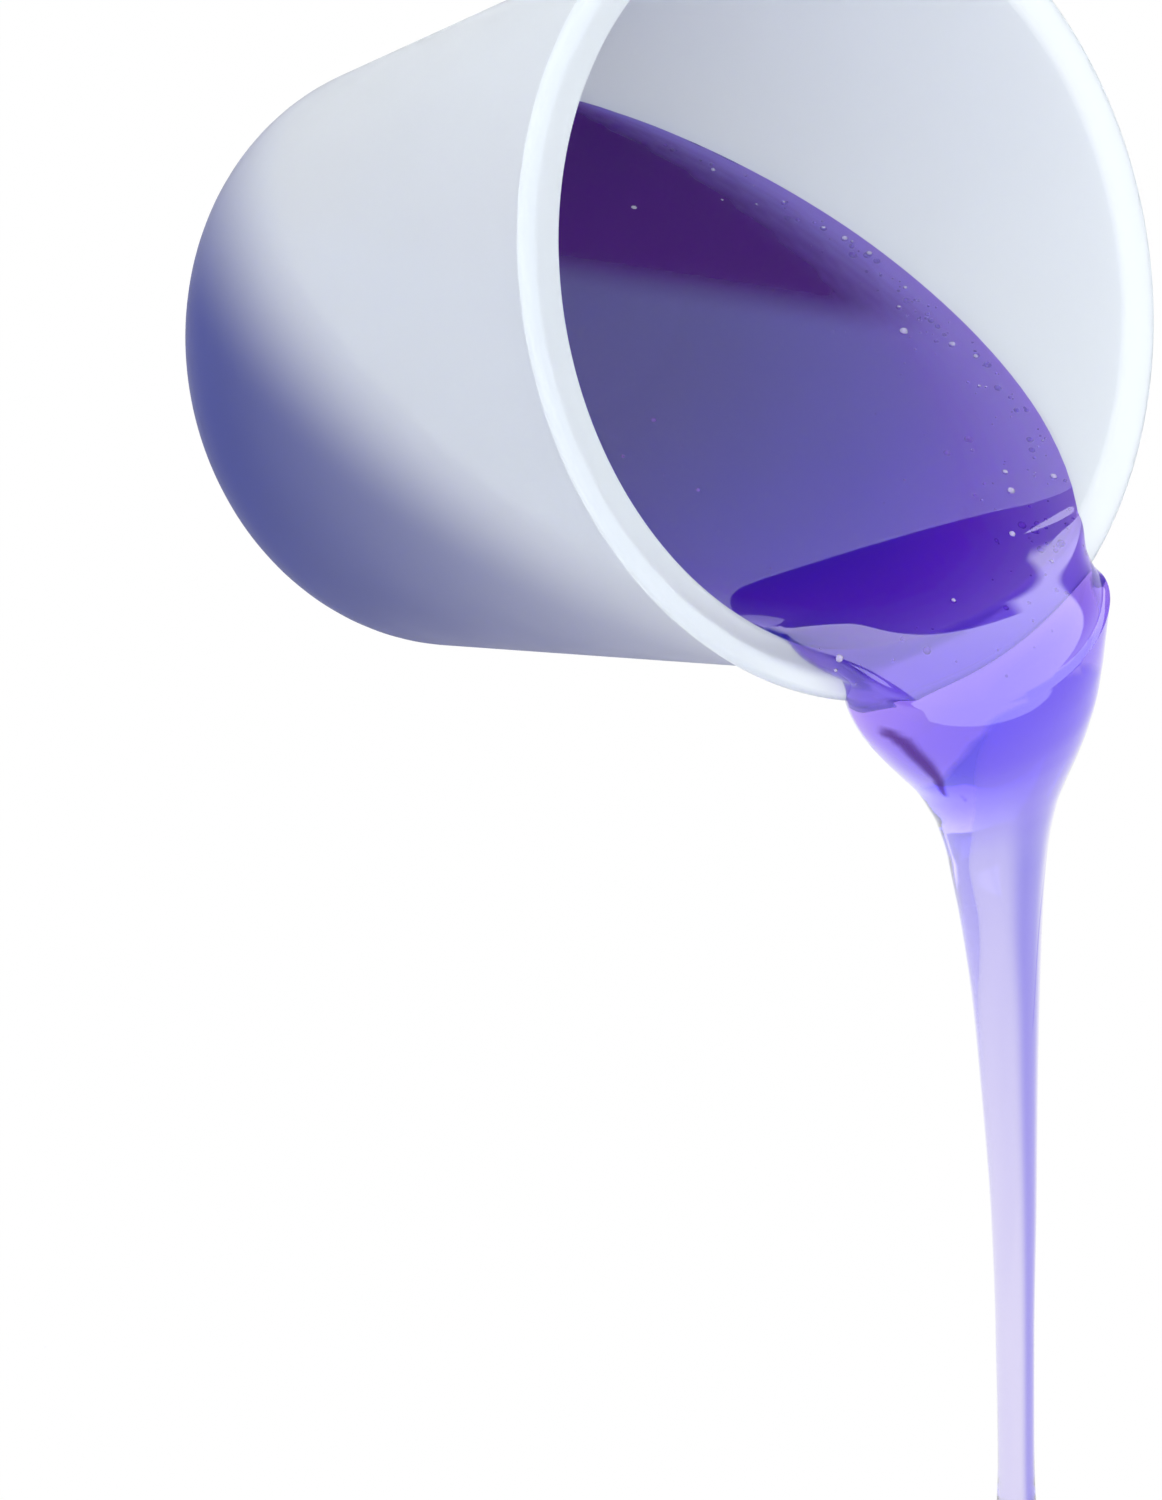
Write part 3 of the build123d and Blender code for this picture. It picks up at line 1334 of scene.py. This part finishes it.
    def painted_see_through(self, piece: bpy.types.Object) -> None:
        """Paint how strongly the resin behind the cup's wall shows through it, as see-through shade
        in its colour.

        Args:
            piece: The cup.
        """
        points = np.empty(len(piece.data.vertices) * 3)
        piece.data.vertices.foreach_get("co", points)
        points = points.reshape(-1, 3)
        below = (self.on_surface - points) @ self.normal
        height = self.axes.read(points)[0]
        rim_base = self.cup.height - self.cup.rim_thickness * self.see_through_gap_share
        under_rim = np.clip((rim_base - height) / self.see_through_border, 0.0, 1.0)
        above = self.see_through_above_share * self.see_through_depth
        way_up = np.clip(height / self.cup.height, 0.0, 1.0)
        paled = 1 - self.see_through_fade * way_up**self.see_through_fade_power
        # Painted see-through shade: strongest well under the resin's surface and low on the cup,
        # none at the rim
        painted_see_through = softened((below + above) / (self.see_through_depth + above)) * under_rim * paled
        mark_points(piece, "painted_see_through", painted_see_through)

    def surface_patch(self, depth: float) -> tuple[np.ndarray, int]:
        """Lay out a sheet just under the open surface, where bubbles gather.

        Args:
            depth: How far under it the sheet lies.

        Returns:
            The sheet's points, ring after ring, and how many a ring has.
        """
        first = self.floor_rings + self.corner_rings + self.patch_start
        rings = (self.pool() + self.lip())[first : -self.patch_margin]
        kept = slice(self.patch_margin, self.half_ring - self.patch_margin + 1)
        sheet = np.array([ring[kept] for ring in rings])
        return (sheet - self.normal * depth).reshape(-1, 3), sheet.shape[1]

    def build(self) -> bpy.types.Object:
        """Join the rings into one closed mesh.

        Returns:
            The resin, riding on its body in place of both plain solids.
        """
        rings = self.pool() + self.lip() + self.fall()
        rings += self.last_drop(rings[-1])
        count = 2 * self.half_ring
        middles = [rings[0].mean(axis=0)[None], rings[-1].mean(axis=0)[None]]
        points = np.concatenate([*rings, *middles])
        faces = []
        for ring in range(len(rings) - 1):
            for step in range(count):
                here, after = ring * count + step, ring * count + (step + 1) % count
                faces.append((here, after, after + count, here + count))
        start, end = len(points) - 2, len(points) - 1
        last = (len(rings) - 1) * count
        for step in range(count):
            faces.append((start, (step + 1) % count, step))
            faces.append((end, last + step, last + (step + 1) % count))
        piece = mesh_object("poured_resin", points, faces, self.finish.material())
        marks = {
            "wetted": self.wetted(rings),
            "thickness": self.thickness(rings),
            # The shade mark also carries the crescent's painted dark reflection
            "shade": np.maximum(self.shade(rings), self.painted_crescent(rings) * self.crescent_share),
            "fold_shade": self.fold_shade(rings),
        }
        # The middle that closes the first ring lies on the cup's floor, and the last one in air
        for name, values in marks.items():
            mark_points(piece, name, np.append(values, (values[self.half_ring + 1], 0.0)))
        close_and_smooth(piece, self.sharp_angle)
        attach(piece, "resin")
        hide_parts("resin_pool", "resin_stream")
        return piece


@dataclass
class ResinBubbles:
    """Tiny air bubbles just under the resin's surface, thickest along its far edge."""

    resin: PouredResin
    finish: Finish
    depth: float = 0.12 * MM
    deepest: float = 1.6 * MM
    density: float = 1.8e6
    least_size: float = 0.1 * MM
    greatest_size: float = 0.48 * MM
    few_are_large: float = 3.5
    few_are_deep: float = 2.0
    seed: int = 7
    ball_segments: int = 8
    ball_rings: int = 5

    # Where they crowd, as shares of the sheet: across it from the far edge, and along the pour
    far_edge_reach: float = 0.05
    far_edge_along: tuple = (0.52, 0.17)
    near_lip_share: float = 0.28
    near_lip_across: tuple = (0.16, 0.16)
    near_lip_along: tuple = (0.72, 0.09)
    on_lip_share: float = 0.05
    on_lip_along: tuple = (0.88, 0.08)
    anywhere_share: float = 0.006

    def crowding(self, points: np.ndarray, columns: int) -> np.ndarray:
        """Work out how thickly the bubbles lie at each point.

        Args:
            points: The sheet's points.
            columns: How many a ring has.

        Returns:
            The share of the greatest density there.
        """
        number = np.arange(len(points))
        across = (number % columns) / (columns - 1)
        along = (number // columns) / (len(points) // columns - 1)
        far_edge = np.exp(-across / self.far_edge_reach) * hump(along, *self.far_edge_along)
        near_lip = self.near_lip_share * hump(across, *self.near_lip_across)
        near_lip = near_lip * hump(along, *self.near_lip_along)
        on_lip = self.on_lip_share * hump(along, *self.on_lip_along)
        return far_edge + near_lip + on_lip + self.anywhere_share

    def build(self) -> bpy.types.Object:
        """Scatter the bubbles over the sheet.

        Returns:
            The bubbles, riding with the resin.
        """
        points, columns = self.resin.surface_patch(self.depth)
        faces = []
        for row in range(len(points) // columns - 1):
            for column in range(columns - 1):
                corner = row * columns + column
                faces.append((corner, corner + 1, corner + columns + 1, corner + columns))
        piece = mesh_object("resin_bubbles", points, faces, None)
        mark_points(piece, "crowding", self.crowding(points, columns))
        number = "NodeSocketFloat"
        graph, start, keys = new_tree(
            "Scatter bubbles",
            [("Density", number), ("Least size", number), ("Greatest size", number),
             ("Few are large", number), ("Deepest", number), ("Seed", "NodeSocketInt"),
             ("Material", "NodeSocketMaterial")],
        )
        inputs = {"Name": "crowding"}
        crowding = graph.add("GeometryNodeInputNamedAttribute", {}, inputs, "Attribute")
        spots = graph.add(
            "GeometryNodeDistributePointsOnFaces",
            {"distribute_method": "RANDOM"},
            {"Mesh": start, "Density": crowding * start.at("Density"), "Seed": start.at("Seed")},
            "Points",
        )
        chance, other_chance = (
            graph.add("FunctionNodeRandomValue", {"data_type": "FLOAT"}, {"Seed": seed}, 1)
            for seed in (start.at("Seed"), start.at("Seed") + 1)
        )
        depth = other_chance**self.few_are_deep * start.at("Deepest") * -1.0
        sink = graph.add("ShaderNodeCombineXYZ", {}, {"Z": depth})
        sunk = graph.add("GeometryNodeSetPosition", {}, {"Geometry": spots, "Offset": sink})
        spread = start.at("Greatest size") - start.at("Least size")
        size = chance ** start.at("Few are large") * spread + start.at("Least size")
        fineness = {"Segments": self.ball_segments, "Rings": self.ball_rings, "Radius": 1.0}
        ball = graph.add("GeometryNodeMeshUVSphere", {}, fineness, "Mesh")
        inputs = {"Points": sunk, "Instance": ball, "Scale": size}
        placed = graph.add("GeometryNodeInstanceOnPoints", {}, inputs)
        end_tree(graph, placed, start.at("Material"))
        run_tree(piece, graph, keys, {
            "Density": self.density,
            "Least size": self.least_size,
            "Greatest size": self.greatest_size,
            "Few are large": self.few_are_large,
            "Deepest": self.deepest,
            "Seed": self.seed,
            "Material": self.finish.material(),
        })
        LOG.info("bubbles: %d faces", len(piece.data.polygons))
        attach(piece, "resin")
        return piece


@dataclass(frozen=True)
class Softbox:
    """A square soft lamp that faces the cup. A brightness of 1 makes its face white."""

    name: str
    place: tuple
    brightness: float
    side: float = 0.5


@dataclass
class Studio:
    """The white surroundings, the soft lamps and the camera."""

    floor_height: float = -0.20
    floor_size: float = 4.0
    camera_place: tuple = (0.34039, -0.32586, 0.22644)
    camera_turn: float = math.radians(46.0)
    camera_pitch: float = math.radians(30.0)
    camera_roll: float = math.radians(-2.0)
    frame_height_px: float = 1500.0
    focal_length_px: float = 5500.0
    sensor_height_mm: float = 36.0
    nearest_seen: float = 0.01
    softboxes: tuple = (
        Softbox("mouth_softbox", (0.60, -0.42, 0.62), 2.3),
        Softbox("near_softbox", (-0.35, -0.75, 0.55), 1.9),
    )
    lamp_aim: tuple = (0.03, 0.0, 0.0)
    sky_level: float = 1.05

    # The dark ceiling that reflections alone show, by the upward part of a ray's direction
    ceiling_level: float = 0.04
    ceiling_start: float = 0.1
    ceiling_end: float = 0.45

    # The bright window that reflections alone show, by its turn and its height in the sky
    window_level: float = 2.4
    window_start: float = math.radians(-12)
    window_end: float = math.radians(95.5)
    window_low: float = 0.0
    window_high: float = math.radians(63)
    window_step: float = math.radians(39.5)
    window_corner: float = math.radians(88)
    corner_slope: float = 3.5
    window_slant: float = math.radians(45)
    window_slope: float = 1.5
    window_border: float = 0.03

    def camera(self) -> None:
        """Set the camera at the photograph's viewing angle."""
        lens = bpy.data.cameras.new("photo_camera")
        lens.sensor_fit = "VERTICAL"
        lens.sensor_height = self.sensor_height_mm
        lens.lens = self.sensor_height_mm * self.focal_length_px / self.frame_height_px
        lens.clip_start = self.nearest_seen
        body = bpy.data.objects.new("photo_camera", lens)
        turn = Matrix.Rotation(self.camera_turn, 4, "Z")
        pitch = Matrix.Rotation(math.pi / 2 - self.camera_pitch, 4, "X")
        roll = Matrix.Rotation(self.camera_roll, 4, "Z")
        body.matrix_world = Matrix.Translation(self.camera_place) @ turn @ pitch @ roll
        bpy.context.scene.collection.objects.link(body)
        bpy.context.scene.camera = body

    def hang(self, box: Softbox) -> None:
        """Hang a lamp so that it faces the cup."""
        light = bpy.data.lights.new(box.name, "AREA")
        light.shape = "RECTANGLE"
        light.size = light.size_y = box.side
        light.energy = box.brightness * math.pi * box.side**2
        body = bpy.data.objects.new(box.name, light)
        facing = (Vector(self.lamp_aim) - Vector(box.place)).to_track_quat("-Z", "Y")
        body.matrix_world = Matrix.Translation(box.place) @ facing.to_matrix().to_4x4()
        body.visible_camera = False
        bpy.context.scene.collection.objects.link(body)

    def floor(self) -> None:
        """Lay the pale floor under the falling stream."""
        half = self.floor_size / 2
        corners = [(-half, -half), (half, -half), (half, half), (-half, half)]
        points = np.array([(x, y, self.floor_height) for x, y in corners])
        finish = WhiteGround("white_floor")
        ground = mesh_object("white_floor", points, [(0, 1, 2, 3)], finish.material())

    def window(self, graph: Graph, turn: Wire, rise: Wire) -> Wire:
        """Draw the bright window in the sky.

        Args:
            graph: The world's graph.
            turn: The ray's angle round the upright axis.
            rise: Its angle above level.

        Returns:
            1 inside the window and 0 outside it.
        """
        step = self.window_step + (self.window_corner - turn) * self.corner_slope
        edges = (
            self.window_end - turn,
            self.window_slant - turn + rise * self.window_slope,
            rise - self.window_low,
            self.window_high - rise,
            graph.math("MAXIMUM", self.window_step, step) - rise,
        )
        inside = turn - self.window_start
        for edge in edges:
            inside = graph.math("MINIMUM", inside, edge)
        inputs = {"Value": inside, "From Min": 0.0, "From Max": self.window_border}
        return graph.add("ShaderNodeMapRange", {}, inputs)

    def world(self) -> None:
        """Surround everything with soft light under a darker ceiling.

        It shows as plain white, and reflections show the ceiling and a bright window instead.
        """
        world = bpy.data.worlds.new("white_room")
        world.use_nodes = True
        world.node_tree.nodes.clear()
        graph = Graph(world.node_tree)
        path = graph.add("ShaderNodeLightPath")
        way = graph.add("ShaderNodeTexCoord", out="Generated")
        upward = graph.add("ShaderNodeSeparateXYZ", {}, {0: way}, "Z")
        ceiling = graph.add(
            "ShaderNodeMapRange",
            {"interpolation_type": "SMOOTHSTEP"},
            {
                "Value": upward,
                "From Min": self.ceiling_start,
                "From Max": self.ceiling_end,
                "To Min": 1.0,
                "To Max": self.ceiling_level,
            },
        )
        turn = graph.math("ARCTAN2", upward.at("Y"), upward.at("X"))
        window = self.window(graph, turn, graph.math("ARCSINE", upward))
        bright = graph.math("MAXIMUM", ceiling, window * self.window_level)
        plain = graph.math("MAXIMUM", path.at(Ray.CAMERA.value), path.at(Ray.TRANSMISSION.value))
        shown = graph.math("MAXIMUM", plain, path.at(Ray.GLOSSY.value) * bright)
        level = graph.math("MAXIMUM", shown, self.sky_level * (1.0 - white_rays(graph)))
        sky = graph.add("ShaderNodeBackground", {}, {"Color": WHITE, "Strength": level})
        graph.add("ShaderNodeOutputWorld", {}, {"Surface": sky})
        bpy.context.scene.world = world

    def build(self) -> None:
        """Set up everything round the object."""
        self.floor()
        self.world()
        for box in self.softboxes:
            self.hang(box)
        self.camera()


def main() -> None:
    """Build the cup, the resin and the studio."""
    logging.basicConfig(level=logging.INFO, format="%(name)s: %(message)s")
    bpy.context.scene.view_settings.view_transform = "Standard"
    axes = CupAxes(frame["record"])
    cup = MixingCup(axes, FrostedSilicone("frosted_silicone"))
    moulding = cup.build()
    LOG.info("built %s", moulding.name)
    resin = PouredResin(axes, cup, VioletResin("violet_resin"))
    # Paint the resin's see-through shade into the cup's colour
    resin.painted_see_through(moulding)
    LOG.info("built %s", resin.build().name)
    bubbles = ResinBubbles(resin, AirInResin("air_in_resin"))
    LOG.info("built %s", bubbles.build().name)
    Studio().build()


if __name__ == "__main__":
    main()
